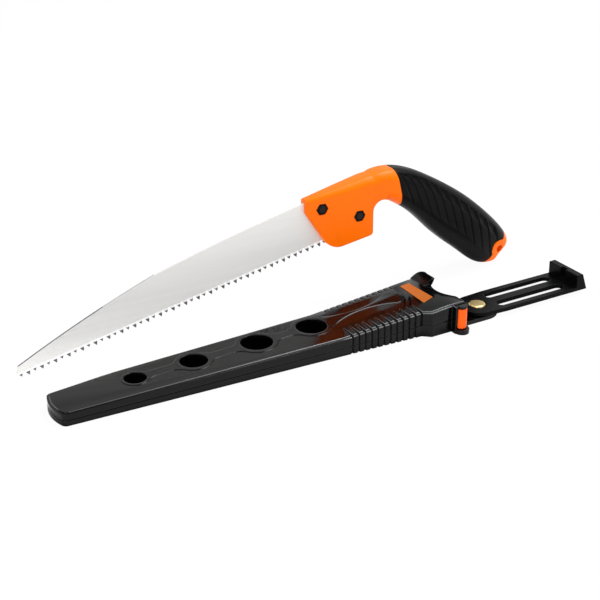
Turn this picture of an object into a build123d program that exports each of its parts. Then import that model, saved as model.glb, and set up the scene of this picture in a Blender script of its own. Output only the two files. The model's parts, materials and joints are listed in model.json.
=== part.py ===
from build123d import *
import os
from math import atan2, cos, degrees, radians, sin

# Fixed-blade pruning saw with its belt scabbard. Millimetres, +Z up.
#
# The scabbard lies on its back: +X runs from its tip to its mouth, and the blade's tooth side is -Y.
# The origin is on the scabbard's flat back, half way along, under the row of holes.
# The saw stands on edge behind the scabbard, on its nose and its butt, with its teeth down.

# ------------------------------------------------------------------------------ blade
# Blade frame: u runs along the tooth points from the nose, v across the blade towards the spine.
blade_shown = 240.0          # toothed edge that shows, from the nose to the handle block
blade_width = 38.0           # at the handle
blade_thickness = 1.4
nose_width = 9.0
nose_overhang = 3.1          # how far the nose reaches past the first tooth
spine_bend = 107.0           # from the nose, where the spine turns down faster
spine_bend_width = 32.3
spine_bulge = 1.7            # rise of the spine between nose and bend, over a straight line
tooth_pitch = 5.0
tooth_depth = 4.4            # point to gullet
tooth_root = 4.3             # width of a tooth at its gullets
tooth_shoulder = 1.9         # width where the ground point begins
tooth_point_height = 1.5     # height of the ground point
tooth_point_land = 0.12      # flat left on a point
tooth_bevel = 0.6            # how much narrower the ground side is at each flank of the shoulder
tooth_rake = 0.9             # how far a point stands towards the handle of its root's middle
tooth_set = 0.2              # how far a point stands out of the blade's face
tang_reach = 38.0            # blade hidden in the handle block, along u
tang_foot = 9.0              # from the shown edge to where the tang leaves the tooth line
tang_low = 8.0
tang_high = 24.0

# ------------------------------------------------------------------------------ handle
# Side frame of the saw: s along the floor from the nose's foot, h height over the floor.
# The handle's own s and h start where the tooth line enters the block.
tooth_line_tilt = 11.0       # degrees, tooth line to floor with the saw standing
# Block stations: s, half thickness, h of the top, corner radius. The block is a wedge in plan.
block_stations = [
    (-22.4, 3.1, 37.4, 2.0),
    (7.6, 7.2, 42.7, 4.5),
    (30.0, 9.2, 47.0, 6.2),
    (52.6, 10.9, 49.1, 7.5),
]
block_front = -20.6          # the front edge
block_front_low = 31.6       # h where the front edge turns back
block_front_round = 6.0
block_chin_s = 2.2           # lowest corner, below the tooth line
block_chin_h = -3.9
block_chin_round = 14.0
block_heel_s = 35.8          # rear corner of the underside and straight rear wall
block_heel_h = 2.7
block_heel_round = 3.0
notch_wall_h = 20.4          # top of the straight rear wall
notch_top_s = 47.0
notch_top_h = 27.7
block_edge_round = 1.5
slot_clearance = 0.1         # each side of the blade in its slot
tooth_clearance = 0.6        # round the points inside the block

# Grip stations: middle s, middle h, direction of the grip in degrees, height, thickness, corner radius.
grip_stations = [
    (34.6, 38.2, 0.0, 18.0, 17.6, 6.0),
    (47.6, 38.4, -3.0, 22.0, 21.6, 7.2),
    (61.6, 34.0, -19.0, 27.0, 24.6, 10.4),
    (78.7, 24.5, -31.0, 30.1, 25.8, 11.2),
    (98.5, 9.5, -35.5, 35.4, 26.8, 11.8),
    (117.9, -6.2, -38.5, 37.6, 27.0, 11.9),
    (133.6, -19.6, -41.5, 36.5, 26.2, 11.5),
    (145.3, -30.4, -47.0, 34.0, 23.6, 10.3),
    (156.8, -38.2, -47.0, 21.0, 18.4, 8.4),
]
butt_round = 8.0             # round of the grip's end
sleeve_edge_s = 56.8         # middle of the plane where the rubber sleeve starts
sleeve_edge_h = 36.0
sleeve_edge_turn = 12.0
core_share = 0.62            # core height and thickness inside the sleeve, of the grip's
lanyard_s = 152.0
lanyard_h = -33.2
lanyard_radius = 3.0
butt_window_radius = 7.6     # core left bare round the lanyard hole
butt_edge_s = 148.0          # middle of the plane where the rubber sleeve ends
butt_edge_h = -33.7
butt_edge_turn = -42.0

bolt_radius = 2.5            # M5
bolt_clearance = 0.1
bolt_head_radius = 4.25
bolt_head_height = 2.6
bolt_socket_flats = 3.0
bolt_socket_depth = 1.6
nut_flats = 8.0
nut_height = 2.7
nut_clearance = 0.1
nut_proud = 0.2
bolts = [(-5.6, 29.5), (24.0, 19.5)]

saw_nose_x = -142.6
saw_nose_y = 58.9
saw_yaw = -1.1               # degrees, the saw's plane against the scabbard's length

# ------------------------------------------------------------------------------ scabbard
body_length = 296.0
tip_bulge = 2.6              # how far the middle of the tip stands out past its corners
tip_front_y = -17.6
tip_back_y = 13.6
tip_round = 4.0
back_edge_y = 17.5
back_knee_x = -95.0          # the back edge runs straight from here to the mouth
grip_zone_x = 56.0           # the top rises faster from here
grip_end_x = 119.5           # the ribbed zone ends
grip_end_y = -31.0
guard_x = 125.0              # the guard's full width starts here
guard_y = -35.8
tip_height = 9.1
grip_zone_height = 13.3
mouth_height = 20.7
mouth_rise_end = 139.0       # the top is level from here to the mouth
split_share = 0.44           # height of the parting line, as a share of the whole height
wall = 2.2
shoulder_width = 1.3         # step round the edge of the top
shoulder_depth = 0.9
parting_groove = 0.5         # width and depth of the groove along the parting line
mouth_back_x = 149.0
mouth_hollow = 2.4           # depth of the curved scoop in the mouth's edge
mouth_scoop_y = -20.0        # the scoop's end on the tooth side
mouth_scoop_step = 0.6
ear_end_x = 153.3

hole_x = (-87.6, -44.5, 3.8, 47.5)
hole_radius = (7.7, 9.7, 11.4, 11.1)

band_rise = 0.4              # raised band that links the holes
band_rim = (1.9, 3.0, 3.0, 3.0)
band_neck = 8.4
band_neck_round = 9.0
band_waist_x = 87.0
band_waist = 2.8
band_flare = 18.0
band_flare_reach = 27.0      # from the waist to the full flare on either side
band_end_x = 123.2

rib_pitch = 5.05
rib_count = 12
back_rib_count = 11          # on the back shell's tooth side
rib_first_front = 63.4
rib_first_back = 67.6
rib_groove = 1.7
rib_depth = 1.1              # into the flank
rib_drop = 1.9               # under the top, where a groove leaves it
rib_reach_front = 13.0       # how far a groove runs in over the top
rib_reach_back = 6.5

lug_start_x = 143.4
lug_end_x = 153.5
lug_low_y = 1.6
lug_rise = 4.0
lug_round = 5.0              # corner of the lug at the back edge
lug_foot = 3.0               # how far its underside reaches down the mouth's edge

# roller at the tooth side of the mouth
roller_x = 147.7
roller_y = -39.0
roller_radius = 3.9
roller_bore = 1.55
roller_edge = 0.5
roller_pin_radius = 1.5
pin_seat_clearance = 0.02
roller_gap = 0.3             # between the roller and each ear
ear_low_thickness = 3.3
ear_top_thickness = 1.9
ear_low_nose = 5.3
ear_low_forward = 1.2        # the lower ear's nose stands this far in front of the roller
ear_top_nose = 3.7
ear_web_x = 141.8            # front face of the web beside the roller
ear_web_thickness = 1.6
ear_root_y = -25.0

# belt hanger on its rivet
rivet_x = 177.0
rivet_y = -19.3
tongue_thickness = 3.0
tongue_radius = 14.8
tongue_root = 20.0           # how far the tongue's plate runs in under the body
hanger_gap = 0.3
hanger_thickness = 3.0
hanger_width = 32.0
hanger_end_radius = 15.1
hanger_shoulder_x = 193.0    # the hanger has its full width from here
hook_x = 257.4               # inner face of the hook
hook_height = 12.3
hook_top_thickness = 5.4
hook_foot_thickness = 9.6
hook_notch_width = 6.0
hook_notch_depth = 2.4
belt_slot_start_x = 189.6
belt_slot_end_x = 250.5
belt_slot_width = 7.6
belt_slot_spacing = 15.1
rivet_shank_radius = 3.0
rivet_clearance = 0.08
rivet_seat_clearance = 0.02
rivet_head_radius = 6.2
rivet_head_height = 1.7
rivet_recess_radius = 7.0
rivet_recess_depth = 1.1
rivet_tail_radius = 4.4
rivet_tail_height = 0.8
washer_radius = 6.0
washer_thickness = 0.8

# ------------------------------------------------------------------------------ derived places
tip_x = -body_length / 2
mouth_x = body_length / 2
top_clear = 60.0             # taller than any piece of the scabbard


def side(shape):
    """Stand a shape drawn in the saw's side frame upright in its place behind the scabbard."""
    return Location((saw_nose_x, saw_nose_y, 0), (0, 0, saw_yaw)) * Rot(90, 0, 0) * shape


def blade_to_side(u, v):
    """Side-frame point of a blade-frame point."""
    tilt = radians(tooth_line_tilt)
    return (u * cos(tilt) - v * sin(tilt), u * sin(tilt) + v * cos(tilt))


def plate(outline, thickness):
    """Plate of this thickness, centred on the sketch plane."""
    return extrude(outline, amount=thickness / 2, both=True)


# ------------------------------------------------------------------------------ blade
def blade_outline(low):
    """Blade and tang without teeth, in the blade frame, down to v = low along the tooth line."""
    nose_low = (-nose_overhang, low)
    nose_high = (-nose_overhang * 0.3, nose_width)
    bend = (spine_bend, spine_bend_width)
    spine_end = (blade_shown, blade_width)
    tang_top = (blade_shown + tang_reach - (blade_width - tang_high), blade_width)
    rear = TangentArc(spine_end, bend, tangent=(-1, 0))
    front_middle = ((nose_high[0] + bend[0]) / 2, (nose_high[1] + bend[1]) / 2 + spine_bulge)
    front = ThreePointArc(bend, front_middle, nose_high)
    rim = Polyline(
        nose_high,
        nose_low,
        (blade_shown + tang_foot, low),
        (blade_shown + tang_reach, tang_low),
        (blade_shown + tang_reach, tang_high),
        tang_top,
        spine_end,
    )
    return make_face([rear, front, rim])


def tooth_section(middle, v, outer_width, inner_width, face, depth):
    """Section of a tooth at height v, from its outer face inwards to the ground side."""
    outline = Polyline(
        (middle - outer_width / 2, face),
        (middle + outer_width / 2, face),
        (middle + inner_width / 2, face - depth),
        (middle - inner_width / 2, face - depth),
        close=True,
    )
    return Plane((0, v, 0), x_dir=(1, 0, 0), z_dir=(0, -1, 0)) * make_face(outline)


def tooth():
    """One tooth with its root's left end at u = 0, set towards +z and ground on its other side."""
    half = blade_thickness / 2
    bent = 1 - tooth_point_height / tooth_depth
    root = tooth_section(tooth_root / 2, tooth_depth, tooth_root, tooth_root, half, blade_thickness)
    shoulder = tooth_section(
        tooth_root / 2 + tooth_rake * bent,
        tooth_point_height,
        tooth_shoulder,
        tooth_shoulder - 2 * tooth_bevel,
        half + tooth_set * bent,
        blade_thickness,
    )
    point = tooth_section(
        tooth_root / 2 + tooth_rake, 0, tooth_point_land, tooth_point_land, half + tooth_set, tooth_point_land
    )
    return loft([root, shoulder, point], ruled=True)


def handle_to_side(s, h):
    """Side-frame point of a point given in the handle's own s and h."""
    entry_s, entry_h = blade_to_side(blade_shown, 0)
    return (entry_s + s, entry_h + h)


def at_handle(shape):
    """Move a shape drawn in the handle's own s and h into the saw's side frame."""
    return Pos(*handle_to_side(0, 0)) * shape


def make_blade():
    body = plate(blade_outline(tooth_depth), blade_thickness)
    near = tooth()
    patterns = (mirror(near, about=Plane.XY), near)
    count = int(blade_shown / tooth_pitch) + 1
    first = -tooth_root / 2 - tooth_rake
    teeth = [Pos(first + i * tooth_pitch, 0) * patterns[i % 2] for i in range(count)]
    blade = Rot(0, 0, tooth_line_tilt) * (body + teeth)
    for s, h in bolts:
        blade -= at_handle(Pos(s, h) * Cylinder(bolt_radius + bolt_clearance, 2 * blade_thickness))
    return side(blade)


# ------------------------------------------------------------------------------ handle
def block_half(s):
    """Half thickness of the block at s, between its stations."""
    for (s0, half0, *_), (s1, half1, *_) in zip(block_stations, block_stations[1:]):
        if s <= s1:
            return half0 + (half1 - half0) * (s - s0) / (s1 - s0)
    return block_stations[-1][1]


def block_outline():
    """Side view of the block below its top: front edge, chin, heel, rear wall and finger notch."""
    over = 2 * blade_width
    heel_wall = (block_heel_s, notch_wall_h)
    notch_top = (notch_top_s, notch_top_h)
    rim = Polyline(
        notch_top,
        (notch_top_s, over),
        (block_front, over),
        (block_front, block_front_low),
        (block_chin_s, block_chin_h),
        (block_heel_s, block_heel_h),
        heel_wall,
    )
    face = make_face([rim, TangentArc(heel_wall, notch_top, tangent=(0, 1))])
    rounds = (
        (block_front, block_front_low, block_front_round),
        (block_chin_s, block_chin_h, block_chin_round),
        (block_heel_s, block_heel_h, block_heel_round),
    )
    for s, h, radius in rounds:
        corner = face.vertices().sort_by_distance(Vertex(s, h, 0))[0]
        face = fillet(corner, radius)
    return face


def make_block():
    """Handle block: a wedge in plan with a rounded top, cut to its outline, with rounded edges."""
    sections = []
    for s, half, top, corner in block_stations:
        height = top + blade_width
        outline = RectangleRounded(2 * half, height, corner)
        sections.append(section_plane(s, top - height / 2, 0) * outline)
    block = loft(sections, ruled=True) & plate(block_outline(), 4 * blade_width)
    rim_faces = block.faces().filter_by(lambda f: abs(f.normal_at(f.center()).Z) < 0.02)
    rim_edges = [e for f in rim_faces if f.center().Y < block_stations[0][2] - 1 for e in f.edges()]
    sides = ShapeList(e for e in rim_edges if abs(e.center().Z) > 2 and abs(e.center().X - notch_top_s) > 0.1)
    return fillet(sides, block_edge_round)


def section_plane(s, h, turn):
    """Plane across the grip at a side-frame point."""
    along = radians(turn)
    return Plane((s, h, 0), x_dir=(0, 0, 1), z_dir=(cos(along), sin(along), 0))


def grip_form():
    """Neck and grip in one form from inside the block to the rounded butt."""
    sections = []
    for s, h, turn, height, thickness, corner in grip_stations:
        sections.append(section_plane(s, h, turn) * RectangleRounded(thickness, height, corner))
    grip = loft(sections)
    end_s, end_h = grip_stations[-1][:2]
    end = grip.faces().sort_by_distance(Vertex(end_s, end_h, 0))[0]
    return fillet(end.edges(), butt_round)


def core_bar():
    """Bar of the core through the sleeve, from inside the neck to the butt."""
    sections = []
    for s, h, turn, height, thickness, _ in grip_stations:
        outline = Rectangle(thickness * core_share, height * core_share)
        sections.append(section_plane(s, h, turn) * outline)
    return loft(sections, ruled=True)


def butt_zone():
    """Space at the butt where the core shows: a round window and everything past the sleeve's end."""
    reach = 2 * blade_width
    window = Pos(lanyard_s, lanyard_h) * Cylinder(butt_window_radius, reach)
    past = Pos(reach / 2, 0) * Box(reach, reach, reach)
    return window + Pos(butt_edge_s, butt_edge_h) * Rot(0, 0, butt_edge_turn) * past


def make_handle():
    """Core with block, neck and butt, and the rubber sleeve over it."""
    grip = grip_form()
    inner = core_bar() & grip
    sleeve_edge = section_plane(sleeve_edge_s, sleeve_edge_h, sleeve_edge_turn)
    back = split(grip, bisect_by=sleeve_edge, keep=Keep.TOP)
    neck = split(grip, bisect_by=sleeve_edge, keep=Keep.BOTTOM)
    zone = butt_zone()
    sleeve = back - inner - zone
    core = make_block() + neck + inner + (back & zone)
    core = at_handle(core)
    core -= Rot(0, 0, tooth_line_tilt) * blade_room()
    for s, h in bolts:
        core -= at_handle(Pos(s, h) * bolt_bore(block_half(s)))
    core -= at_handle(Pos(lanyard_s, lanyard_h) * Cylinder(lanyard_radius, 2 * blade_width))
    return side(core), side(at_handle(sleeve))


def blade_room():
    """Slot for blade and tang in the block, in the blade frame, wider along the last teeth."""
    front = blade_shown - 2 * tang_reach
    tang_top = (blade_shown + tang_reach - (blade_width - tang_high), blade_width)
    rim = Polyline(
        (front, -tooth_clearance),
        (blade_shown + tang_foot, -tooth_clearance),
        (blade_shown + tang_reach, tang_low),
        (blade_shown + tang_reach, tang_high),
        tang_top,
        (front, blade_width),
        close=True,
    )
    slot = plate(make_face(rim), blade_thickness + 2 * slot_clearance)
    rear = blade_shown + tooth_pitch / 2
    middle = Pos((front + rear) / 2, (tooth_depth - tooth_clearance) / 2)
    points = middle * Rectangle(rear - front, tooth_depth + tooth_clearance)
    return slot + plate(points, blade_thickness + 2 * (tooth_set + slot_clearance))


def hexagon(flats):
    return RegularPolygon(flats / 2, 6, major_radius=False)


def bolt_bore(half):
    """Bore through the block, with the nut's pocket on the near side and the head's on the far side."""
    bore = Cylinder(bolt_radius + bolt_clearance, 4 * half)
    pocket_floor = half + nut_proud - nut_height
    pocket = Pos(0, 0, pocket_floor) * extrude(hexagon(nut_flats + 2 * nut_clearance), nut_height * 2)
    seat_depth = 2 * bolt_head_height
    head_seat = Pos(0, 0, -half) * Cylinder(bolt_head_radius + bolt_clearance, seat_depth)
    return bore + pocket + head_seat


def make_bolt(half):
    head = Pos(0, 0, -half + bolt_head_height / 2) * Cylinder(bolt_head_radius, bolt_head_height)
    shank = Pos(0, 0, nut_proud / 2) * Cylinder(bolt_radius, 2 * half + nut_proud)
    socket = Pos(0, 0, -half) * extrude(hexagon(bolt_socket_flats), bolt_socket_depth)
    return head + shank - socket


def make_nut(half):
    blank = extrude(hexagon(nut_flats), nut_height)
    crown = Cone(nut_flats / 2 + nut_height * 1.2, nut_flats / 2 * 0.98, nut_height * 1.2)
    blank &= Pos(0, 0, nut_height * 0.4) * crown
    nut = blank - Cylinder(bolt_radius + bolt_clearance / 2, 3 * nut_height)
    return Pos(0, 0, half + nut_proud - nut_height) * nut


def fasteners():
    """Bolt and nut of each bolt place, from the front."""
    made = []
    for s, h in bolts:
        place = Pos(s, h)
        half = block_half(s)
        made.append((side(at_handle(place * make_bolt(half))), side(at_handle(place * make_nut(half)))))
    return made


# ------------------------------------------------------------------------------ scabbard
def front_edge_y(x):
    """Front edge of the scabbard's outline at x, up to the end of the ribbed zone."""
    share = (x - tip_x) / (grip_end_x - tip_x)
    return tip_front_y + share * (grip_end_y - tip_front_y)


def body_outline(inset=0.0, reach=0.0):
    """Scabbard outline seen from above; inset makes the cavity and reach carries it past the mouth."""
    tip_corner_x = tip_x + tip_bulge + inset
    tip_low = (tip_corner_x, tip_front_y + inset)
    tip_high = (tip_corner_x + 1.5, tip_back_y - inset)
    tip_middle = (tip_x + inset, (tip_front_y + tip_back_y) / 2)
    mouth_low = (ear_end_x + reach, ear_root_y)
    mouth_x = mouth_back_x + reach
    scoop_end = (mouth_x + mouth_scoop_step, mouth_scoop_y)
    mouth_edge = [
        Line((mouth_x, back_edge_y - inset), (mouth_x, 0)),
        ThreePointArc((mouth_x, 0), (mouth_x - mouth_hollow, mouth_scoop_y / 2), scoop_end),
        Line(scoop_end, mouth_low),
    ]
    rim = Polyline(
        mouth_low,
        (ear_end_x + reach, guard_y + inset),
        (guard_x, guard_y + inset),
        (grip_end_x, grip_end_y + inset),
        tip_low,
    )
    back = Polyline(tip_high, (back_knee_x, back_edge_y - inset), (mouth_x, back_edge_y - inset))
    face = make_face([*mouth_edge, rim, ThreePointArc(tip_low, tip_middle, tip_high), back])
    corners = face.vertices().sort_by(Axis.X)[:2]
    return fillet(corners, tip_round)


def top_line(drop=0.0):
    """Height of the scabbard's top along its length, lowered by drop."""
    far = ear_end_x + top_clear
    return [
        (tip_x - 5, tip_height - drop),
        (grip_zone_x, grip_zone_height - drop),
        (mouth_rise_end, mouth_height - drop),
        (far, mouth_height - drop),
    ]


def top_height(x):
    """Height of the top at x in the ribbed zone."""
    slope = (mouth_height - grip_zone_height) / (mouth_rise_end - grip_zone_x)
    return grip_zone_height + (x - grip_zone_x) * slope


def split_line(lift=0.0):
    """Height of the parting line along the scabbard, raised by lift."""
    return [(x, z * split_share + lift) for x, z in top_line()]


def between(low, high):
    """Solid between two lines of height drawn along the scabbard, wider than the scabbard."""
    outline = make_face(Polyline(*low, *reversed(high), close=True))
    return Rot(90, 0, 0) * extrude(outline, amount=top_clear, both=True)


def floor_line(z):
    return [(tip_x - 5, z), (ear_end_x + top_clear, z)]


def prism(outline):
    return extrude(outline, amount=top_clear)


def cavity():
    """Space for the blade inside both shells, open at the mouth."""
    return prism(body_outline(inset=wall, reach=10.0)) & between(floor_line(wall), top_line(wall))


def rib_grooves(front, count):
    """Grooves of the ribbed zone on one long side, square to that side's edge."""
    lean = degrees(atan2(grip_end_y - tip_front_y, grip_end_x - tip_x)) if front else 0.0
    reach = rib_reach_front if front else rib_reach_back
    first = rib_first_front if front else rib_first_back
    out = -1 if front else 1
    wedge = Polyline(
        (-out * reach, 0),
        (0, -rib_drop),
        (out * rib_drop, -rib_drop),
        (out * rib_drop, rib_drop),
        (-out * reach, rib_drop),
        close=True,
    )
    over = extrude(Plane.YZ * make_face(wedge), amount=rib_groove / 2, both=True)
    flank = Box(rib_groove, 2 * rib_depth, top_clear)
    grooves = []
    for i in range(count):
        x = first + i * rib_pitch
        y = front_edge_y(x) if front else back_edge_y
        grooves.append(Pos(x, y) * Rot(0, 0, lean) * (flank + Pos(0, 0, top_height(x)) * over))
    return grooves


def edge_strip(width):
    """Strip of this width along the tip and both long edges, as tall as the scabbard."""
    return prism(body_outline()) - prism(body_outline(inset=width, reach=shoulder_width))


def band_outline():
    """Raised band on the top: a ring round each hole, necks between them and a tongue to the mouth."""
    band = Pos((hole_x[0] + hole_x[-1]) / 2, 0) * Rectangle(hole_x[-1] - hole_x[0], band_neck)
    for x, r, rim in zip(hole_x, hole_radius, band_rim):
        band += Pos(x, 0) * Circle(r + rim)
    joints = band.vertices().filter_by(lambda v: abs(abs(v.Y) - band_neck / 2) < 0.01)
    band = fillet(joints, band_neck_round)
    start_x = band_waist_x - band_flare_reach
    flare_x = band_waist_x + band_flare_reach
    low, high = -band_flare / 2, band_flare / 2
    tongue = make_face(
        [
            ThreePointArc((start_x, low), (band_waist_x, -band_waist / 2), (flare_x, low)),
            ThreePointArc((flare_x, low), (band_end_x, 0), (flare_x, high)),
            ThreePointArc((flare_x, high), (band_waist_x, band_waist / 2), (start_x, high)),
            Line((start_x, high), (start_x, low)),
        ]
    )
    return band + tongue


def ear_outline(nose, forward=0.0):
    """Ear over or under the roller, seen from above."""
    nose_y = roller_y - forward
    tip = Pos(roller_x, nose_y) * Circle(nose)
    half_span = (ear_end_x - ear_web_x) / 2
    shank = Pos(ear_web_x + half_span, (nose_y + ear_root_y) / 2) * Rectangle(2 * half_span, ear_root_y - nose_y)
    return tip + shank


def roller_pocket():
    """Space for the roller between its ears, open to the front, the mouth and the cavity."""
    low = ear_low_thickness
    height = mouth_height - ear_top_thickness - low
    inner_x = ear_web_x + ear_web_thickness
    span_x = ear_end_x - inner_x + 10
    span_y = guard_y + wall - roller_y + 15
    block = Pos(inner_x + span_x / 2, guard_y + wall - span_y / 2, low + height / 2)
    return block * Box(span_x, span_y, height)


def outer_body():
    """Whole outside of the closed scabbard, with the ears and their web but without lug and tongue."""
    body = prism(body_outline()) & between(floor_line(0), top_line())
    low_ear = extrude(ear_outline(ear_low_nose, ear_low_forward), amount=ear_low_thickness)
    top_ear = Pos(0, 0, mouth_height - ear_top_thickness) * extrude(
        ear_outline(ear_top_nose), amount=ear_top_thickness
    )
    web_y = roller_y - 1.5
    web = Pos(ear_web_x + ear_web_thickness / 2, (web_y + ear_root_y) / 2, mouth_height / 2) * Box(
        ear_web_thickness, ear_root_y - web_y, mouth_height
    )
    return body + low_ear + top_ear + web - roller_pocket()


def thumb_lug():
    """Flared lip at the back of the mouth that the thumb pushes against."""
    depth = back_edge_y - lug_low_y
    run = lug_end_x - lug_start_x
    top = mouth_height + lug_rise
    foot = (mouth_back_x, mouth_height - lug_foot)
    inside = (lug_start_x, mouth_height - lug_foot / 3)
    ramp = ThreePointArc(
        (lug_start_x, mouth_height),
        (lug_start_x + run * 0.45, mouth_height + lug_rise * 0.62),
        (lug_end_x, top),
    )
    under = Spline((lug_end_x, top), (lug_end_x - 1.1, top - lug_foot), foot)
    profile = make_face([Line(inside, (lug_start_x, mouth_height)), ramp, under, Line(foot, inside)])
    lip = Pos(0, back_edge_y, 0) * Rot(90, 0, 0) * extrude(profile, amount=depth)
    plan = Pos(lug_end_x - run, back_edge_y - depth / 2) * Rectangle(2 * run, depth)
    back_corner = plan.vertices().sort_by_distance(Vertex(lug_end_x, back_edge_y, 0))[0]
    return lip & prism(fillet(back_corner, lug_round))


def make_front_shell():
    shell = outer_body() & between(split_line(), top_line(-top_clear))
    shell -= edge_strip(shoulder_width) & between(top_line(shoulder_depth), top_line(-top_clear))
    shell -= edge_strip(parting_groove) & between(split_line(), split_line(parting_groove / 2))
    shell += prism(band_outline()) & between(top_line(wall / 2), top_line(-band_rise))
    shell += thumb_lug()
    shell -= cavity()
    for x, r in zip(hole_x, hole_radius):
        shell -= Pos(x, 0, mouth_height) * Cylinder(r, 2 * mouth_height)
    shell -= rib_grooves(True, rib_count)
    shell -= rib_grooves(False, rib_count)
    shell -= Pos(roller_x, roller_y, mouth_height / 2) * Cylinder(
        roller_pin_radius + pin_seat_clearance, roller_pin_span()
    )
    return shell


def make_back_shell():
    shell = outer_body() & between(floor_line(0), split_line())
    root_x = mouth_back_x - tongue_root
    root = Pos((root_x + rivet_x) / 2, rivet_y) * Rectangle(rivet_x - root_x, 2 * tongue_radius)
    tongue = root + Pos(rivet_x, rivet_y) * Circle(tongue_radius)
    shell += extrude(tongue, amount=tongue_thickness)
    shell -= edge_strip(parting_groove) & between(split_line(-parting_groove / 2), split_line())
    shell -= cavity()
    shell -= rib_grooves(True, back_rib_count)
    shell -= rib_grooves(False, rib_count)
    shell -= Pos(roller_x, roller_y, mouth_height / 2) * Cylinder(
        roller_pin_radius + pin_seat_clearance, roller_pin_span()
    )
    shell -= Pos(rivet_x, rivet_y) * Cylinder(rivet_shank_radius + rivet_seat_clearance, 4 * tongue_thickness)
    seat = rivet_tail_height + washer_thickness
    shell -= Pos(rivet_x, rivet_y) * Cylinder(washer_radius + rivet_clearance, 2 * seat)
    return shell


def roller_pin_span():
    """Length of the roller's pin, blind in both ears."""
    return mouth_height - 2.0


def make_guide_roller():
    low = ear_low_thickness + roller_gap
    height = mouth_height - ear_top_thickness - roller_gap - low
    barrel = Cylinder(roller_radius, height)
    barrel = chamfer(barrel.edges(), roller_edge)
    barrel -= Cylinder(roller_bore, 2 * height)
    return Pos(roller_x, roller_y, low + height / 2) * barrel


def make_roller_pin():
    return Pos(roller_x, roller_y, mouth_height / 2) * Cylinder(roller_pin_radius, roller_pin_span())


# ------------------------------------------------------------------------------ belt hanger
def make_belt_hanger():
    low = tongue_thickness + hanger_gap
    hook_foot_x = hook_x + hook_foot_thickness
    disc = Pos(rivet_x, rivet_y) * Circle(hanger_end_radius)
    arm_length = hook_x - hanger_shoulder_x + 2
    arm = Pos((hanger_shoulder_x + hook_x) / 2, rivet_y) * Rectangle(arm_length, hanger_width)
    neck = make_face(
        Polyline(
            (rivet_x, rivet_y - hanger_end_radius),
            (hanger_shoulder_x, rivet_y - hanger_width / 2),
            (hanger_shoulder_x, rivet_y + hanger_width / 2),
            (rivet_x, rivet_y + hanger_end_radius),
            close=True,
        )
    )
    outline = disc + neck + arm
    slot_run = belt_slot_end_x - belt_slot_start_x
    slot_middle = (belt_slot_start_x + belt_slot_end_x) / 2
    for offset in (-belt_slot_spacing / 2, belt_slot_spacing / 2):
        outline -= Pos(slot_middle, rivet_y + offset) * SlotOverall(slot_run, belt_slot_width)
    hanger = Pos(0, 0, low) * extrude(outline, amount=hanger_thickness)
    hook_side = make_face(
        Polyline(
            (hook_x, low),
            (hook_foot_x, low),
            (hook_x + hook_top_thickness, low + hook_height),
            (hook_x, low + hook_height),
            close=True,
        )
    )
    hanger += Pos(0, rivet_y, 0) * Rot(90, 0, 0) * plate(hook_side, hanger_width)
    notch_low = low + hanger_thickness + 2.0
    hanger -= Pos(hook_x, rivet_y, notch_low + hook_height / 2) * Box(
        2 * hook_notch_depth, hook_notch_width, hook_height
    )
    hanger -= Pos(rivet_x, rivet_y) * Cylinder(rivet_shank_radius + rivet_clearance, 8 * hanger_thickness)
    recess_floor = low + hanger_thickness - rivet_recess_depth
    hanger -= Pos(rivet_x, rivet_y, recess_floor + hanger_thickness / 2) * Cylinder(
        rivet_recess_radius, hanger_thickness
    )
    return hanger


def make_rivet():
    """Brass rivet through hanger and tongue, flared over a washer at the back."""
    head_low = tongue_thickness + hanger_gap + hanger_thickness - rivet_recess_depth + 0.1
    head = Cylinder(rivet_head_radius, rivet_head_height)
    rim = head.edges().sort_by(Axis.Z)[-1]
    head = Pos(0, 0, head_low + rivet_head_height / 2) * chamfer(rim, rivet_head_height * 0.4)
    shank = Pos(0, 0, head_low / 2) * Cylinder(rivet_shank_radius, head_low)
    tail = Pos(0, 0, rivet_tail_height / 2) * Cylinder(rivet_tail_radius, rivet_tail_height)
    return Pos(rivet_x, rivet_y) * (head + shank + tail)


def make_washer():
    ring = Cylinder(washer_radius, washer_thickness)
    ring -= Cylinder(rivet_shank_radius + rivet_seat_clearance, 2 * washer_thickness)
    return Pos(rivet_x, rivet_y, rivet_tail_height + washer_thickness / 2) * ring


# ------------------------------------------------------------------------------ write the parts
handle_core, grip_sleeve = make_handle()
(front_bolt, front_nut), (rear_bolt, rear_nut) = fasteners()
pieces = {
    "blade": make_blade(),
    "handle_core": handle_core,
    "grip_sleeve": grip_sleeve,
    "front_bolt": front_bolt,
    "rear_bolt": rear_bolt,
    "front_nut": front_nut,
    "rear_nut": rear_nut,
    "front_shell": make_front_shell(),
    "back_shell": make_back_shell(),
    "guide_roller": make_guide_roller(),
    "roller_pin": make_roller_pin(),
    "belt_hanger": make_belt_hanger(),
    "hanger_rivet": make_rivet(),
    "rivet_washer": make_washer(),
}
os.makedirs("parts", exist_ok=True)
for name, shape in pieces.items():
    export_step(shape, f"parts/{name}.step")
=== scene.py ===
"""Looks of a fixed-blade pruning saw and its belt scabbard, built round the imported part."""

from __future__ import annotations

import json
import logging
import math
from dataclasses import dataclass
from enum import Enum

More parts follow.
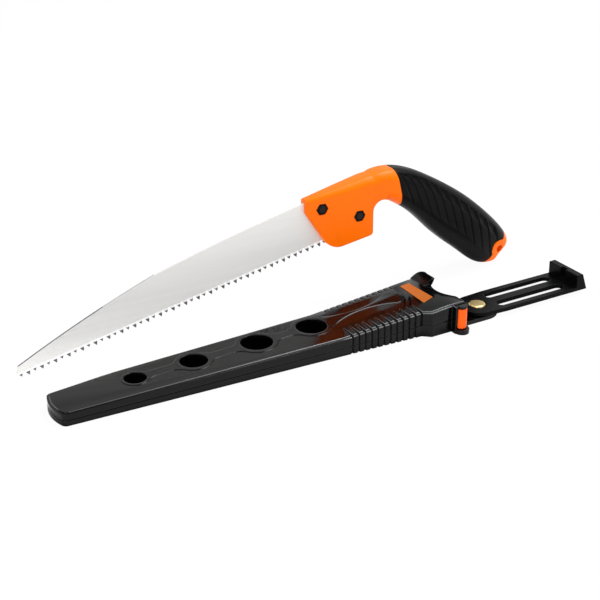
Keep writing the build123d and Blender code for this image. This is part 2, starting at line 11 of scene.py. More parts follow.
import bmesh
import bpy
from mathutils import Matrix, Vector

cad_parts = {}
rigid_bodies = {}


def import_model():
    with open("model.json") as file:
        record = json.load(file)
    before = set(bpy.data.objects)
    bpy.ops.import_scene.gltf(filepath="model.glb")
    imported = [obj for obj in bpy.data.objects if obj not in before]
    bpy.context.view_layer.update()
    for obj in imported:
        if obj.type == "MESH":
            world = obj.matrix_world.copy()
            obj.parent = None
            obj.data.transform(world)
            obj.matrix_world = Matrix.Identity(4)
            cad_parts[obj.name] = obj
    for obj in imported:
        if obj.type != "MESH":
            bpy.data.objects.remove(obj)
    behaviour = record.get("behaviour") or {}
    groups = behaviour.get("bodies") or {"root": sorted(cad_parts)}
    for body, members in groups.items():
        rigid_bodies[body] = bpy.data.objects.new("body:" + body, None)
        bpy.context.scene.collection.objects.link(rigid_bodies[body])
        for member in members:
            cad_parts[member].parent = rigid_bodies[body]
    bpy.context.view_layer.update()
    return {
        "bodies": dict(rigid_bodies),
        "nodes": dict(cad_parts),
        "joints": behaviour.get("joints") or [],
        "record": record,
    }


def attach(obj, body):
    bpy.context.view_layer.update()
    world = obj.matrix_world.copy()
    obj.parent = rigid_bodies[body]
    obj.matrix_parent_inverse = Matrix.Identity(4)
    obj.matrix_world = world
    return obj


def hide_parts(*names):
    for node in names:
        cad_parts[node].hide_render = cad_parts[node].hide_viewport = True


LOG = logging.getLogger("pruning_saw")
MM = 0.001
SAME_POINT = 0.002 * MM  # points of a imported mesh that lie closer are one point
ON_CUT = 0.0001 * MM  # points this near to a cutting plane lie on it
FLAT_ANGLE = 0.6  # degrees; faces that turn by less make one flat face
SHARP_ANGLE = 32.0  # degrees; edges that turn by more are sharp
NOISE_RANGE = (0.35, 0.65)  # nearly all values of a noise pattern
EDGE_SAMPLES = 6  # rays that look for an edge to shade as rounded


class Node(str, Enum):
    """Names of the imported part's nodes."""

    BLADE = "blade"
    CORE = "handle_core"
    SLEEVE = "grip_sleeve"
    FRONT_BOLT = "front_bolt"
    REAR_BOLT = "rear_bolt"
    FRONT_NUT = "front_nut"
    REAR_NUT = "rear_nut"
    FRONT_SHELL = "front_shell"
    BACK_SHELL = "back_shell"
    ROLLER = "guide_roller"
    ROLLER_PIN = "roller_pin"
    HANGER = "belt_hanger"
    RIVET = "hanger_rivet"
    WASHER = "rivet_washer"


class Body(str, Enum):
    """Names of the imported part's rigid bodies."""

    SAW = "saw"
    SCABBARD = "scabbard"
    ROLLER = "roller"
    HANGER = "hanger"


class Shader:
    """A material's node tree with short ways to add and join nodes."""

    def __init__(self, name: str) -> None:
        """Start an empty principled material.

        Args:
            name: The material's name.
        """
        self.material = bpy.data.materials.new(name)
        self.material.use_nodes = True
        self.tree = self.material.node_tree
        self.surface = self.tree.nodes["Principled BSDF"]
        self.place = self.tree.nodes.new("ShaderNodeTexCoord").outputs["Object"]

    def add(self, kind: str, **settings: object) -> bpy.types.Node:
        """Add a node.

        Args:
            kind: Blender's node type, without its ShaderNode prefix.
            **settings: Attributes to set on the node.

        Returns:
            The new node.
        """
        node = self.tree.nodes.new("ShaderNode" + kind)
        for key, value in settings.items():
            setattr(node, key, value)
        return node

    def join(self, source: bpy.types.NodeSocket, target: bpy.types.NodeSocket) -> None:
        """Link two sockets."""
        self.tree.links.new(source, target)

    def mapped(
        self, turn: tuple[float, float, float], scale: tuple[float, float, float]
    ) -> bpy.types.NodeSocket:
        """Turn and stretch the object's own coordinates.

        Args:
            turn: Rotation in degrees.
            scale: Stretch along each axis.

        Returns:
            The socket with the new coordinates.
        """
        node = self.add("Mapping")
        node.inputs["Rotation"].default_value = [math.radians(a) for a in turn]
        node.inputs["Scale"].default_value = scale
        self.join(self.place, node.inputs["Vector"])
        return node.outputs["Vector"]

    def noise(self, place: bpy.types.NodeSocket, scale: float, detail: float = 3.0) -> bpy.types.NodeSocket:
        """Add a noise pattern.

        Args:
            place: Coordinates it is drawn on.
            scale: Its scale.
            detail: Its number of finer layers.

        Returns:
            Its factor socket.
        """
        node = self.add("TexNoise")
        node.inputs["Scale"].default_value = scale
        node.inputs["Detail"].default_value = detail
        self.join(place, node.inputs["Vector"])
        return node.outputs["Fac"]

    def spread(self, value: bpy.types.NodeSocket, low: float, high: float) -> bpy.types.NodeSocket:
        """Stretch a noise pattern's usual range to a new one.

        Args:
            value: The pattern.
            low: Lowest result.
            high: Highest result.

        Returns:
            The socket with the new range.
        """
        node = self.add("MapRange")
        node.inputs["From Min"].default_value = NOISE_RANGE[0]
        node.inputs["From Max"].default_value = NOISE_RANGE[1]
        node.inputs["To Min"].default_value = low
        node.inputs["To Max"].default_value = high
        self.join(value, node.inputs["Value"])
        return node.outputs["Result"]

    def blend(self, factor: bpy.types.NodeSocket, low: tuple, high: tuple) -> bpy.types.NodeSocket:
        """Mix two fixed colours by a pattern.

        Args:
            factor: The pattern.
            low: Colour at 0.
            high: Colour at 1.

        Returns:
            The socket with the mixed colour.
        """
        node = self.add("Mix", data_type="RGBA")
        self.join(factor, node.inputs["Factor"])
        colours = {"A": low, "B": high}
        for socket in node.inputs:
            if socket.type == "RGBA":
                socket.default_value = (*colours[socket.name], 1.0)
        return next(socket for socket in node.outputs if socket.type == "RGBA")

    def relief(self, height: bpy.types.NodeSocket, depth: float, edge_round: float = 0.0) -> None:
        """Turn a pattern into fine surface relief, over edges that shade as if rounded.

        Args:
            height: The pattern.
            depth: Height of the relief in metres.
            edge_round: Radius in metres at which the edges shade.
        """
        node = self.add("Bump")
        node.inputs["Strength"].default_value = 1.0
        node.inputs["Distance"].default_value = depth
        self.join(height, node.inputs["Height"])
        if edge_round > 0.0:
            rounded = self.add("Bevel", samples=EDGE_SAMPLES)
            rounded.inputs["Radius"].default_value = edge_round
            self.join(rounded.outputs["Normal"], node.inputs["Normal"])
        self.join(node.outputs["Normal"], self.surface.inputs["Normal"])


@dataclass(frozen=True)
class Plastic:
    """A moulded plastic with a fine grain and slight unevenness of colour and gloss."""

    name: str
    color: tuple[float, float, float]
    shade: float = 0.9
    rough: tuple[float, float] = (0.28, 0.36)
    cloud_scale: float = 28.0
    gloss_scale: float = 90.0
    grain_scale: float = 1800.0
    grain_detail: float = 2.0
    grain_depth: float = 0.01 * MM
    specular: float = 0.5
    edge_round: float = 0.0

    def material(self) -> bpy.types.Material:
        """Build the material.

        Returns:
            The finished material.
        """
        shader = Shader(self.name)
        cloud = shader.spread(shader.noise(shader.place, self.cloud_scale), 0.0, 1.0)
        dark = tuple(c * self.shade for c in self.color)
        shader.join(shader.blend(cloud, dark, self.color), shader.surface.inputs["Base Color"])
        gloss = shader.spread(shader.noise(shader.place, self.gloss_scale), *self.rough)
        shader.join(gloss, shader.surface.inputs["Roughness"])
        grain = shader.noise(shader.place, self.grain_scale, self.grain_detail)
        shader.relief(grain, self.grain_depth, self.edge_round)
        shader.surface.inputs["Specular IOR Level"].default_value = self.specular
        return shader.material


@dataclass(frozen=True)
class Metal:
    """A metal with fine working lines in one direction."""

    name: str
    color: tuple[float, float, float]
    shade: float = 0.85
    rough: tuple[float, float] = (0.22, 0.36)
    turn: tuple[float, float, float] = (0.0, 0.0, 0.0)
    lines: tuple[float, float, float] = (8.0, 900.0, 900.0)
    line_detail: float = 4.0
    line_depth: float = 0.004 * MM
    metallic: float = 1.0

    def material(self) -> bpy.types.Material:
        """Build the material.

        Returns:
            The finished material.
        """
        shader = Shader(self.name)
        lines = shader.noise(shader.mapped(self.turn, self.lines), 1.0, self.line_detail)
        tone = shader.spread(lines, 0.0, 1.0)
        dark = tuple(c * self.shade for c in self.color)
        shader.join(shader.blend(tone, dark, self.color), shader.surface.inputs["Base Color"])
        shader.join(shader.spread(lines, *self.rough), shader.surface.inputs["Roughness"])
        shader.relief(lines, self.line_depth)
        shader.surface.inputs["Metallic"].default_value = self.metallic
        return shader.material


def merged_form(node: Node, frame: dict) -> bmesh.types.BMesh:
    """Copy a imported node's loose triangles into one joined form.

    Args:
        node: The node.
        frame: The loaded frame.

    Returns:
        The joined form.
    """
    form = bmesh.new()
    form.from_mesh(frame["nodes"][node.value].data)
    bmesh.ops.remove_doubles(form, verts=form.verts, dist=SAME_POINT)
    for face in form.faces:
        face.material_index = 0
    return form


def join_flat_faces(form: bmesh.types.BMesh) -> None:
    """Join a form's faces wherever they make one flat face."""
    angle = math.radians(FLAT_ANGLE)
    bmesh.ops.dissolve_limit(form, angle_limit=angle, verts=form.verts, edges=form.edges)


def smooth_shading(form: bmesh.types.BMesh, sharp: float = SHARP_ANGLE) -> None:
    """Shade a form smoothly, apart from its sharp edges.

    Args:
        form: The form.
        sharp: Angle in degrees from which an edge is sharp.
    """
    for face in form.faces:
        face.smooth = True
    for edge in form.edges:
        edge.smooth = len(edge.link_faces) == 2 and edge.calc_face_angle() < math.radians(sharp)


def placed(
    form: bmesh.types.BMesh, name: str, body: Body, *finishes: bpy.types.Material
) -> bpy.types.Object:
    """Turn a form into a piece that rides on a body.

    Args:
        form: The form, which is freed.
        name: The piece's name.
        body: The body it rides on.
        *finishes: Its materials, in the order of the form's material indices.

    Returns:
        The piece.
    """
    mesh = bpy.data.meshes.new(name)
    form.to_mesh(mesh)
    form.free()
    for finish in finishes:
        mesh.materials.append(finish)
    piece = bpy.data.objects.new(name, mesh)
    bpy.context.scene.collection.objects.link(piece)
    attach(piece, body.value)
    return piece


def soften(piece: bpy.types.Object, width: float) -> None:
    """Round a piece's sharp edges a little.

    Args:
        piece: The piece.
        width: Width of the rounds in metres.
    """
    bevel = piece.modifiers.new("edges", "BEVEL")
    bevel.width = width
    bevel.segments = 2
    bevel.limit_method = "ANGLE"
    bevel.angle_limit = math.radians(SHARP_ANGLE)


def softened_copy(
    node: Node, body: Body, material: bpy.types.Material, frame: dict, width: float
) -> None:
    """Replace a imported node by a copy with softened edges.

    Args:
        node: The node.
        body: The body it rides on.
        material: Its material.
        frame: The loaded frame.
        width: Width of the softened edges in metres.
    """
    form = merged_form(node, frame)
    join_flat_faces(form)
    smooth_shading(form)
    piece = placed(form, node.value + "_piece", body, material)
    soften(piece, width)
    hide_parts(node.value)
    LOG.info("%s is replaced by a copy with softened edges", node.value)


def finish_node(node: Node, material: bpy.types.Material, frame: dict) -> None:
    """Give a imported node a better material.

    Args:
        node: The node.
        material: Its new material.
        frame: The loaded frame.
    """
    for slot in frame["nodes"][node.value].material_slots:
        slot.material = material
    LOG.info("%s keeps its solid", node.value)


def ramp(value: float, low: float, high: float) -> float:
    """Smooth step from 0 at low to 1 at high."""
    share = min(max((value - low) / (high - low), 0.0), 1.0)
    return share * share * (3.0 - 2.0 * share)


@dataclass(frozen=True)
class SawPlace:
    """Where the standing saw is: its own directions, in millimetres and degrees."""

    nose: tuple[float, float] = (-142.6, 58.9)
    yaw: float = -1.1
    tilt: float = 11.0
    blade_shown: float = 240.0

    @property
    def nose_point(self) -> Vector:
        """The foot of the nose on the floor, in metres."""
        return Vector((*self.nose, 0.0)) * MM

    @property
    def handle_start(self) -> tuple[float, float]:
        """Length and height at which the tooth line enters the handle, in millimetres."""
        tilt = math.radians(self.tilt)
        return self.blade_shown * math.cos(tilt), self.blade_shown * math.sin(tilt)

    def upright(self, point: Vector) -> tuple[float, float, float]:
        """Find a point's place along the saw, over the floor and out of its middle plane.

        Args:
            point: A point of a mesh, in metres.

        Returns:
            Length from the nose, height, and distance towards the near side.
        """
        x, y = point.x / MM - self.nose[0], point.y / MM - self.nose[1]
        turn = math.radians(self.yaw)
        along = x * math.cos(turn) + y * math.sin(turn)
        out = x * math.sin(turn) - y * math.cos(turn)
        return along, point.z / MM, out

    def on_blade(self, point: Vector) -> tuple[float, float, float]:
        """Find a point's place along and across the toothed line, and out of the blade.

        Args:
            point: A point of a mesh, in metres.

        Returns:
            Length along the tooth points, height over them, and distance towards the near side.
        """
        along, height, out = self.upright(point)
        tilt = math.radians(self.tilt)
        u = along * math.cos(tilt) + height * math.sin(tilt)
        return u, height * math.cos(tilt) - along * math.sin(tilt), out

    def directions(self) -> tuple[Vector, Vector]:
        """Give the saw's length and its blade's upward direction, as unit vectors."""
        turn, tilt = math.radians(self.yaw), math.radians(self.tilt)
        length = Vector((math.cos(turn), math.sin(turn), 0.0))
        return length, Vector((0.0, 0.0, math.cos(tilt))) - length * math.sin(tilt)

    def cut_along_blade(self, form: bmesh.types.BMesh, height: float) -> None:
        """Divide a form's faces along a line over the tooth points.

        Args:
            form: The form.
            height: The line's height over the tooth points, in millimetres.
        """
        upward = self.directions()[1]
        start = self.nose_point + upward * height * MM
        geometry = [*form.verts, *form.edges, *form.faces]
        bmesh.ops.bisect_plane(form, geom=geometry, dist=ON_CUT, plane_co=start, plane_no=upward)

    def on_handle(self, point: Vector) -> tuple[float, float, float]:
        """Find a point's place from where the tooth line enters the handle.

        Args:
            point: A point of a mesh, in metres.

        Returns:
            Length, height and distance towards the near side.
        """
        along, height, out = self.upright(point)
        start_along, start_height = self.handle_start
        return along - start_along, height - start_height, out


@dataclass
class Blade:
    """The toothed blade: satin face, ground teeth painted white as a reflection, points and nose back
    painted dark as shade.

    Heights over the tooth points and lengths from the nose are in millimetres, angles in degrees.
    """

    place: SawPlace
    point_height: float = 2.9
    tooth_depth: float = 4.37
    nose_end: float = 104.0
    # the nose's narrow back is painted dark as shade up to here, and grey as shade from here to nose_end
    dark_back_end: float = 66.0
    back_half_width: float = 0.3
    back_steepness: float = 0.5
    flat_angle: float = 0.3
    sharp_angle: float = 12.0

    def zone(self, face: bmesh.types.BMFace) -> int:
        """Choose a face's finish.

        Args:
            face: A face of the blade.

        Returns:
            0 for the body, 1 for a ground tooth painted white as a reflection, 2 for a near point or the
            tip's narrow back painted dark as shade, 3 for a far point painted black as shade and 4 for the
            rest of the nose's narrow back painted grey as shade.
        """
        u, v, out = self.place.on_blade(face.calc_center_median())
        narrow_back = abs(out) < self.back_half_width and face.normal.z > self.back_steepness
        if narrow_back and u < self.nose_end and v > self.tooth_depth:
            return 2 if u < self.dark_back_end else 4
        if u > self.place.blade_shown or v > self.tooth_depth:
            return 0
        if v > self.point_height:
            return 1
        return 2 if out > 0.0 else 3

    def build(self, frame: dict) -> None:
        """Build the blade and dress it.

        Args:
            frame: The loaded frame.
        """
        form = merged_form(Node.BLADE, frame)
        form.normal_update()
        self.place.cut_along_blade(form, self.point_height)
        for face in form.faces:
            face.material_index = self.zone(face)
        angle = math.radians(self.flat_angle)
        bmesh.ops.dissolve_limit(
            form, angle_limit=angle, verts=form.verts, edges=form.edges, delimit={"MATERIAL"}
        )
        smooth_shading(form, self.sharp_angle)
        face_steel = Metal(
            "satin_steel",
            (0.76, 0.755, 0.74),
            shade=0.97,
            rough=(0.40, 0.48),
            turn=(0.0, self.place.tilt, 0.0),
            lines=(6.0, 200.0, 420.0),
            line_depth=0.0012 * MM,
            metallic=0.35,
        ).material()
        # the ground teeth are painted near-white, a painted reflection of the bright surroundings in their
        # facets
        ground = Metal("ground_tooth_painted_reflection", (0.97, 0.97, 0.96), rough=(0.3, 0.4), metallic=0.15).material()
        # the points are painted dark as shade: grey on the near side, which also paints shade on the tip's
        # narrow back, and black on the far side
        near = Metal("near_point_and_tip_back_painted_shade", (0.15, 0.15, 0.16), rough=(0.4, 0.5), metallic=0.8).material()
        far = Metal("far_point_painted_shade", (0.006, 0.006, 0.007), rough=(0.4, 0.5)).material()
        # the rest of the nose's narrow back is painted mid-grey as shade
        back = Metal("nose_back_painted_shade", (0.5, 0.5, 0.5), rough=(0.4, 0.5), metallic=0.6).material()
        piece = placed(form, "blade_piece", Body.SAW, face_steel, ground, near, far, back)
        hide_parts(Node.BLADE.value)
        LOG.info("blade has %d faces", len(piece.data.polygons))


@dataclass
class GripSleeve:
    """The rubber sleeve with its panel of slanting scales on either side.

    Sizes are in millimetres. The arc is the grip's middle line in the handle's own frame. Rows are counted
    from the middle of the grip, and a rise or fall within a scale is a share of its pitch.
    """

    place: SawPlace
    voxel: float = 0.54
    arc_start: tuple[float, float] = (61.6, 34.0)
    arc_end: tuple[float, float] = (145.3, -30.4)
    arc_rise: float = 3.1
    side_from: float = 9.0
    pitch: float = 10.75
    pitch_growth: float = 0.000145
    lean: float = 1.35
    first: float = -5.35
    last: float = 5.3
    scale_rise: float = 0.62
    slit_depth: float = 0.75
    slit_half: float = 0.42
    slit_over_scale: float = 0.4
    hollow_depth: float = 0.95
    hollow_across: tuple[float, float] = (6.5, 10.5)
    hollow_rise: tuple[float, float] = (0.12, 0.4)
    hollow_fall: tuple[float, float] = (0.9, 1.0)
    panel_low: tuple[float, float] = (-8.8, -4.3)
    panel_top: tuple[float, float] = (12.1, 13.0)
    first_fade: float = 0.25
    last_fade: float = 0.4
    least_depth: float = 0.01
    sharp_angle: float = 60.0

    def on_arc(self, s: float, h: float) -> tuple[float, float]:
        """Measure a place along and across the grip's curved middle line.

        Args:
            s: Length in the handle's own frame.
            h: Height in the handle's own frame.

        Returns:
            Length from the middle of the grip, and distance towards its back.
        """
        start, end = Vector(self.arc_start), Vector(self.arc_end)
        chord = end - start
        radius = (chord.length ** 2 / 4 + self.arc_rise ** 2) / (2 * self.arc_rise)
        out = Vector((-chord.y, chord.x)).normalized()
        centre = (start + end) / 2 - out * (radius - self.arc_rise)
        spoke = Vector((s, h)) - centre
        angle = math.atan2(spoke.x * out.y - spoke.y * out.x, spoke.dot(out))
        return radius * angle, spoke.length - radius

    def depth(self, along: float, across: float) -> float:
        """Depth of the scale relief.

        Args:
            along: Length from the middle of the grip.
            across: Distance towards the grip's back.

        Returns:
            Depth under the plain surface, in millimetres.
        """
        line = along + self.lean * across
        row = line / self.pitch - self.pitch_growth * line * line
        if not self.first < row < self.last:
            return 0.0
        share = row - math.floor(row)
        from_slit = min(share, 1.0 - share) * self.pitch / math.hypot(1.0, self.lean)
        panel = ramp(across, *self.panel_low) * (1.0 - ramp(across, *self.panel_top))
        ends = ramp(row, self.first, self.first + self.first_fade)
        ends *= 1.0 - ramp(row, self.last - self.last_fade, self.last)
        scale = self.scale_rise * share
        slit = self.slit_depth * math.exp(-((from_slit / self.slit_half) ** 2))
        hollow = self.hollow_depth * ramp(across, *self.hollow_across)
        hollow *= ramp(share, *self.hollow_rise) * (1.0 - ramp(share, *self.hollow_fall))
        return panel * ends * max(scale + hollow, slit + self.slit_over_scale * scale)

    def evened(self, frame: dict) -> bmesh.types.BMesh:
        """Copy the sleeve with an even net of small faces.

        Args:
            frame: The loaded frame.

        Returns:
            The copy.
        """
        mesh = bpy.data.meshes.new("sleeve_net")
        rough = merged_form(Node.SLEEVE, frame)
        rough.to_mesh(mesh)
        rough.free()
        holder = bpy.data.objects.new("sleeve_net", mesh)
        bpy.context.scene.collection.objects.link(holder)
        net = holder.modifiers.new("net", "REMESH")
        net.mode = "VOXEL"
        net.voxel_size = self.voxel * MM
        ready = holder.evaluated_get(bpy.context.evaluated_depsgraph_get())
        form = bmesh.new()
        form.from_mesh(ready.data)
        bpy.data.objects.remove(holder)
        return form

    def build(self, frame: dict) -> None:
        """Build the sleeve and dress it.

        Args:
            frame: The loaded frame.
        """
        form = self.evened(frame)
        form.normal_update()
        moves = []
        for vertex in form.verts:
            s, h, out = self.place.on_handle(vertex.co)
            if abs(out) < self.side_from:
                continue
            depth = self.depth(*self.on_arc(s, h))
            if depth > self.least_depth:
                moves.append((vertex, vertex.normal * depth * MM))
        for vertex, move in moves:
            vertex.co -= move
        smooth_shading(form, self.sharp_angle)
        rubber = Plastic(
            "grip_rubber",
            (0.0024, 0.0024, 0.0026),
            rough=(0.32, 0.40),
            grain_scale=2600.0,
            specular=0.065,
        ).material()
        piece = placed(form, "grip_sleeve_piece", Body.SAW, rubber)
        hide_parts(Node.SLEEVE.value)
        LOG.info("grip sleeve has %d faces", len(piece.data.polygons))


@dataclass
class Handle:
    """The orange core with its sleeve, bolts and nuts.

    Sizes are in millimetres, and the corner is measured from where the tooth line enters the handle.
    """

    place: SawPlace
    edge_width: float = 0.4
    corner: float = -18.2

    def core(self, frame: dict, material: bpy.types.Material) -> None:
        """Build the core with its front corner cut square.

        Args:
            frame: The loaded frame.
            material: Its material.
        """
        form = merged_form(Node.CORE, frame)
        length = self.place.directions()[0]
        start = self.place.nose_point + length * (self.place.handle_start[0] + self.corner) * MM
        geometry = [*form.verts, *form.edges, *form.faces]
        cut = bmesh.ops.bisect_plane(
            form, geom=geometry, dist=ON_CUT, plane_co=start, plane_no=-length, clear_outer=True
        )["geom_cut"]
        rim = [edge for edge in cut if isinstance(edge, bmesh.types.BMEdge) and len(edge.link_faces) == 1]
        bmesh.ops.triangle_fill(form, use_beauty=True, use_dissolve=False, edges=rim)
        bmesh.ops.recalc_face_normals(form, faces=form.faces)
        join_flat_faces(form)
        smooth_shading(form)
        piece = placed(form, "handle_core_piece", Body.SAW, material)
        soften(piece, self.edge_width * MM)
        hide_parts(Node.CORE.value)
        LOG.info("handle core has %d faces", len(piece.data.polygons))

    def build(self, frame: dict) -> None:
        """Build the handle and dress it.

        Args:
            frame: The loaded frame.
        """
        orange = Plastic(
            "orange_plastic",
            (1.0, 0.157, 0.0),
            shade=0.95,
            rough=(0.26, 0.34),
            specular=0.10,
            edge_round=0.6 * MM,
        ).material()
        self.core(frame, orange)
        GripSleeve(self.place).build(frame)
        oxide = Metal("black_oxide", (0.010, 0.010, 0.011), rough=(0.35, 0.5)).material()
        ends = Metal(
            "worn_bolt_end", (0.028, 0.024, 0.023), rough=(0.35, 0.5), lines=(900.0, 900.0, 900.0)
        ).material()
        for node in (Node.FRONT_BOLT, Node.REAR_BOLT):
            finish_node(node, ends, frame)
        for node in (Node.FRONT_NUT, Node.REAR_NUT):
            finish_node(node, oxide, frame)


@dataclass
class Scabbard:
    """The two black shells with their bare label field, roller, pin, rivet and washer.

    Sizes are in millimetres. The top's two ends are given as x and height.
    """

    top_start: tuple[float, float] = (56.0, 13.3)
    top_end: tuple[float, float] = (139.0, 20.7)
    label_corners: tuple[tuple[float, float], ...] = (
        (129.5, 10.7),
        (137.1, 10.4),
        (137.8, -17.7),
        (128.1, -20.7),
    )
    label_thickness: float = 0.3
    label_margin: float = 0.55
    label_line: float = 0.55
    edge_width: float = 0.3
    small_edge_width: float = 0.2
    rim_round: float = 0.6
    rim_shortest: float = 2.5
    rim_lowest: float = 9.0
    steep_normal: float = 0.3
    level_normal: float = 0.97

    def top_height(self, x: float) -> float:
        """Height of the rising top at x, in millimetres."""
        slope = (self.top_end[1] - self.top_start[1]) / (self.top_end[0] - self.top_start[0])
        return self.top_start[1] + (x - self.top_start[0]) * slope

    def label(self) -> None:
        """Lay the bare label field on the top by the mouth, with a thin line inside its edge."""
        form = bmesh.new()
        corners = [form.verts.new((x * MM, y * MM, self.top_height(x) * MM)) for x, y in self.label_corners]
        field = form.faces.new(corners)
        field.normal_update()
        if field.normal.z < 0:
            field.normal_flip()
        raised = bmesh.ops.extrude_face_region(form, geom=[field])["geom"]
        lifted = [item for item in raised if isinstance(item, bmesh.types.BMVert)]
        bmesh.ops.translate(form, verts=lifted, vec=(0.0, 0.0, self.label_thickness * MM))
        top = max(form.faces, key=lambda face: face.calc_center_median().z)
        bmesh.ops.inset_region(form, faces=[top], thickness=self.label_margin * MM)
        line = bmesh.ops.inset_region(form, faces=[top], thickness=self.label_line * MM)["faces"]
        for face in line:
            face.material_index = 1
        bmesh.ops.recalc_face_normals(form, faces=form.faces)
        paint = Plastic("label_field", (0.40, 0.102, 0.012), rough=(0.35, 0.45), specular=0.15)
        edge = Plastic("label_line", (0.85, 0.52, 0.30), rough=(0.35, 0.45), specular=0.15)
        piece = placed(form, "label_field", Body.SCABBARD, paint.material(), edge.material())
        LOG.info("label field is laid")

    def on_rim(self, edge: bmesh.types.BMEdge) -> bool:
        """Tell whether an edge is part of the top's rim, which is painted lighter as a highlight.

        Args:
            edge: An edge of the front shell.

        Returns:
            True for a long outer edge between the top and the step beside it.
        """
        if len(edge.link_faces) != 2 or not edge.is_convex or edge.calc_length() < self.rim_shortest * MM:
            return False
        side, top = sorted(edge.link_faces, key=lambda face: face.normal.z)
        heights = [vertex.co.z for vertex in side.verts]
        steep = abs(side.normal.z) < self.steep_normal and top.normal.z > self.level_normal
        tall = max(heights) - min(heights) > self.rim_round * MM
        return steep and tall and min(v.co.z for v in edge.verts) > self.rim_lowest * MM

    def front_shell(self, frame: dict, black: bpy.types.Material) -> None:
        """Build the front shell with its top's rim painted lighter as a highlight.

        Args:
            frame: The loaded frame.
            black: The plastic of both shells.
        """
        form = merged_form(Node.FRONT_SHELL, frame)
        join_flat_faces(form)
        form.normal_update()
        rim = [edge for edge in form.edges if self.on_rim(edge)]
        # the rim's bevel faces take the second material, a painted highlight
        bmesh.ops.bevel(
            form,
            geom=rim,
            offset=self.rim_round * MM,
            segments=2,
            profile=0.5,
            affect="EDGES",
            material=1,
            clamp_overlap=False,
        )
        smooth_shading(form)
        # light grey plastic on the bevelled rim: a painted highlight along the top's edges
        rim_highlight = Plastic("rim_painted_highlight", (0.075, 0.077, 0.080), rough=(0.2, 0.3), specular=0.3).material()
        piece = placed(form, "front_shell_piece", Body.SCABBARD, black, rim_highlight)
        soften(piece, self.edge_width * MM)
        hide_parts(Node.FRONT_SHELL.value)
        # these are the rim edges painted lighter as a highlight
        LOG.info("front shell has %d rubbed edges", len(rim))

    def build(self, frame: dict) -> None:
        """Build the scabbard and dress it.

        Args:
            frame: The loaded frame.
        """
        black = Plastic(
            "scabbard_plastic",
            (0.0014, 0.0015, 0.0017),
            rough=(0.10, 0.15),
            specular=0.17,
            edge_round=1.0 * MM,
        ).material()
        self.front_shell(frame, black)
        softened_copy(Node.BACK_SHELL, Body.SCABBARD, black, frame, self.edge_width * MM)
        self.label()
        orange = Plastic(
            "roller_plastic", (1.0, 0.108, 0.004), shade=0.95, rough=(0.3, 0.4), specular=0.12
        ).material()
        softened_copy(Node.ROLLER, Body.ROLLER, orange, frame, self.small_edge_width * MM)
        brass = Metal(
            "brass", (0.74, 0.56, 0.25), shade=0.94, lines=(80.0, 80.0, 80.0), rough=(0.24, 0.32)
        ).material()
        softened_copy(Node.RIVET, Body.SCABBARD, brass, frame, self.small_edge_width * MM)
        turned = Metal("turned_steel", (0.62, 0.61, 0.60)).material()
        finish_node(Node.ROLLER_PIN, turned, frame)
        finish_node(Node.WASHER, turned, frame)


@dataclass
class Hanger:
    """The belt hanger on its rivet, with the width of its softened edges in millimetres."""

    edge_width: float = 0.4

    def build(self, frame: dict) -> None:
        """Build the hanger and dress it.

        Args:
            frame: The loaded frame.
        """
        black = Plastic(
            "hanger_plastic",
            (0.0016, 0.0017, 0.0019),
            rough=(0.26, 0.34),
            specular=0.05,
            edge_round=1.0 * MM,
        ).material()
        softened_copy(Node.HANGER, Body.HANGER, black, frame, self.edge_width * MM)


@dataclass(frozen=True)
class Lamp:
    """A square soft lamp: its place and side in metres, and its power in watts."""

    name: str
    place: tuple[float, float, float]
    size: float
    power: float


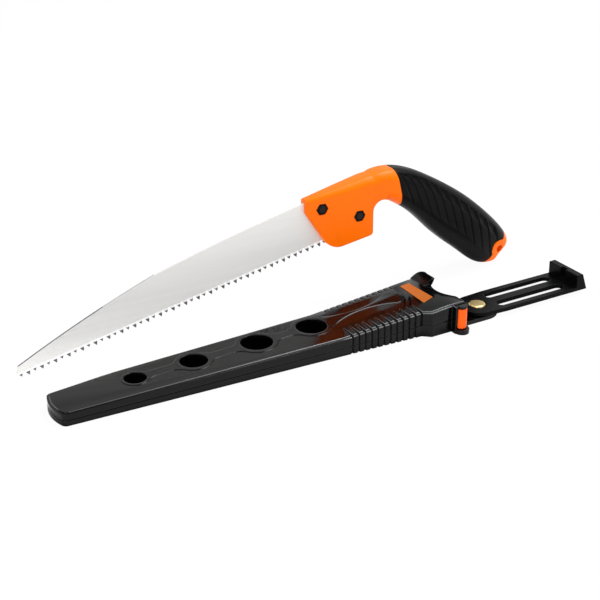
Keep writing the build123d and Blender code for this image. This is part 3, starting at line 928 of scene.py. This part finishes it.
@dataclass
class Studio:
    """White floor, soft light and the camera.

    Places are in metres, the floor's drop in millimetres and angles in degrees.
    """

    target: tuple[float, float, float] = (0.0780, 0.0648, 0.0)
    distance: float = 1.1205
    azimuth: float = -31.5
    elevation: float = 25.26
    focal_px: float = 1517.0
    frame_px: float = 600.0
    sensor: float = 36.0
    far_clip: float = 20.0
    sky: float = 0.55
    lamps: tuple[Lamp, ...] = (
        Lamp("key", (-1.0, -0.95, 0.7), 1.2, 12.78),
        Lamp("overhead", (0.72, 0.12, 1.32), 0.65, 18.0),
        Lamp("edge", (0.70, -0.52, 1.12), 0.45, 4.05),
    )
    floor_half: float = 6.0
    floor_drop: float = 0.1
    floor_tone: float = 0.85
    floor_rough: float = 0.9
    floor_glow: float = 0.95

    def camera(self) -> None:
        """Place the camera."""
        a, e = math.radians(self.azimuth), math.radians(self.elevation)
        back = Vector((math.sin(a) * math.cos(e), -math.cos(a) * math.cos(e), math.sin(e)))
        data = bpy.data.cameras.new("camera")
        data.sensor_width = self.sensor
        data.lens = self.focal_px / self.frame_px * self.sensor
        data.clip_end = self.far_clip
        camera = bpy.data.objects.new("camera", data)
        camera.location = Vector(self.target) + back * self.distance
        camera.rotation_euler = back.to_track_quat("Z", "Y").to_euler()
        bpy.context.scene.collection.objects.link(camera)
        bpy.context.scene.camera = camera

    def hang(self, lamp: Lamp) -> None:
        """Hang a lamp so that it points at the object.

        Args:
            lamp: The lamp.
        """
        data = bpy.data.lights.new(lamp.name, "AREA")
        data.size = lamp.size
        data.energy = lamp.power
        holder = bpy.data.objects.new(lamp.name, data)
        holder.location = lamp.place
        away = Vector(lamp.place) - Vector(self.target)
        holder.rotation_euler = away.to_track_quat("Z", "Y").to_euler()
        bpy.context.scene.collection.objects.link(holder)

    def world(self) -> None:
        """Light everything softly from all round, and show white behind it."""
        world = bpy.data.worlds.new("studio")
        bpy.context.scene.world = world
        world.use_nodes = True
        tree = world.node_tree
        ground = tree.nodes["Background"]
        rays = tree.nodes.new("ShaderNodeLightPath")
        seen = tree.nodes.new("ShaderNodeMath")
        seen.operation = "MAXIMUM"
        through = tree.nodes.new("ShaderNodeMath")
        through.operation = "MAXIMUM"
        tree.links.new(rays.outputs["Is Glossy Ray"], through.inputs[0])
        tree.links.new(rays.outputs["Is Transmission Ray"], through.inputs[1])
        tree.links.new(rays.outputs["Is Camera Ray"], seen.inputs[0])
        tree.links.new(through.outputs[0], seen.inputs[1])
        strength = tree.nodes.new("ShaderNodeMapRange")
        strength.inputs["To Min"].default_value = self.sky
        strength.inputs["To Max"].default_value = 1.0
        tree.links.new(seen.outputs[0], strength.inputs["Value"])
        tree.links.new(strength.outputs["Result"], ground.inputs["Strength"])
        ground.inputs["Color"].default_value = (1.0, 1.0, 1.0, 1.0)

    def floor(self) -> None:
        """Lay the floor, which is white to the camera but for a trace of shadow."""
        form = bmesh.new()
        bmesh.ops.create_grid(form, x_segments=1, y_segments=1, size=self.floor_half)
        bmesh.ops.translate(form, verts=form.verts, vec=(0.0, 0.0, -self.floor_drop * MM))
        mesh = bpy.data.meshes.new("floor")
        form.to_mesh(mesh)
        form.free()
        floor = bpy.data.objects.new("floor", mesh)
        bpy.context.scene.collection.objects.link(floor)
        shader = Shader("floor_white")
        shader.surface.inputs["Base Color"].default_value = (*[self.floor_tone] * 3, 1.0)
        shader.surface.inputs["Roughness"].default_value = self.floor_rough
        glow = shader.add("Emission")
        glow.inputs["Strength"].default_value = 1.0
        mix = shader.add("MixShader")
        rays = shader.add("LightPath")
        share = shader.add("MapRange")
        share.inputs["To Max"].default_value = self.floor_glow
        shader.join(rays.outputs["Is Camera Ray"], share.inputs["Value"])
        shader.join(share.outputs["Result"], mix.inputs[0])
        shader.join(shader.surface.outputs[0], mix.inputs[1])
        shader.join(glow.outputs[0], mix.inputs[2])
        shader.join(mix.outputs[0], shader.tree.nodes["Material Output"].inputs["Surface"])
        mesh.materials.append(shader.material)

    def build(self) -> None:
        """Set up the whole studio."""
        self.camera()
        self.world()
        self.floor()
        for lamp in self.lamps:
            self.hang(lamp)
        bpy.context.scene.view_settings.view_transform = "Standard"


def main() -> None:
    """Build the studio and dress every piece."""
    logging.basicConfig(level=logging.INFO)
    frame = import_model()
    Studio().build()
    place = SawPlace()
    Blade(place).build(frame)
    Handle(place).build(frame)
    Scabbard().build(frame)
    Hanger().build(frame)


if __name__ == "__main__":
    main()
